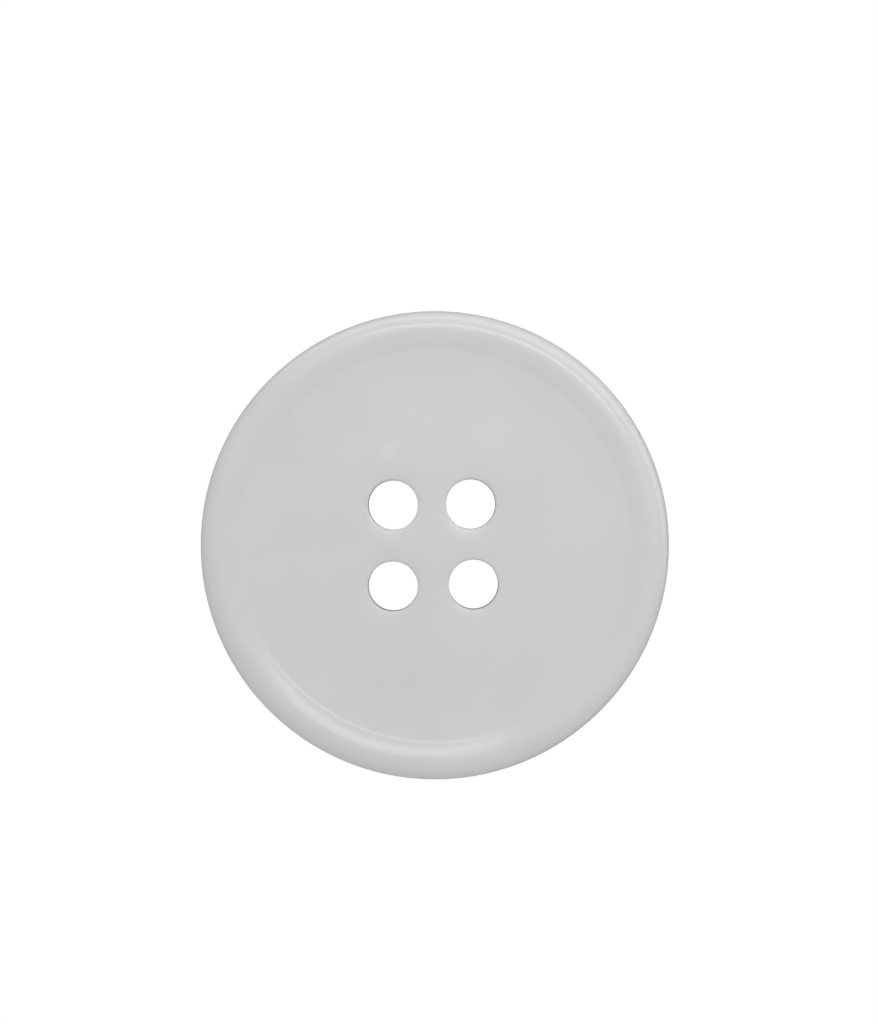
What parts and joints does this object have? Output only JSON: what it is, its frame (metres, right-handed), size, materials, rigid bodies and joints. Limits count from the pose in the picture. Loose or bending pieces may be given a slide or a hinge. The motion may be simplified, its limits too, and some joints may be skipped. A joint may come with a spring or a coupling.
{
  "type": "sew-on button",
  "caption": "Round sew-on button with a shallow dished face inside a rounded rim, thread holes through its middle and a flat back, for closing a coat or jacket.",
  "frame": {"origin": "the middle of the flat back, which lies on the cloth", "axes": "+Z out of the face, along the button's axis; +Y towards the top of the button as it is looked at, with the square of thread holes lined up with X and Y"},
  "size_m": [0.0254, 0.0254, 0.004],
  "materials": {
    "polyester": "satin"
  },
  "bodies": {
    "root": {"button_body": "polyester"}
  },
  "joints": []
}
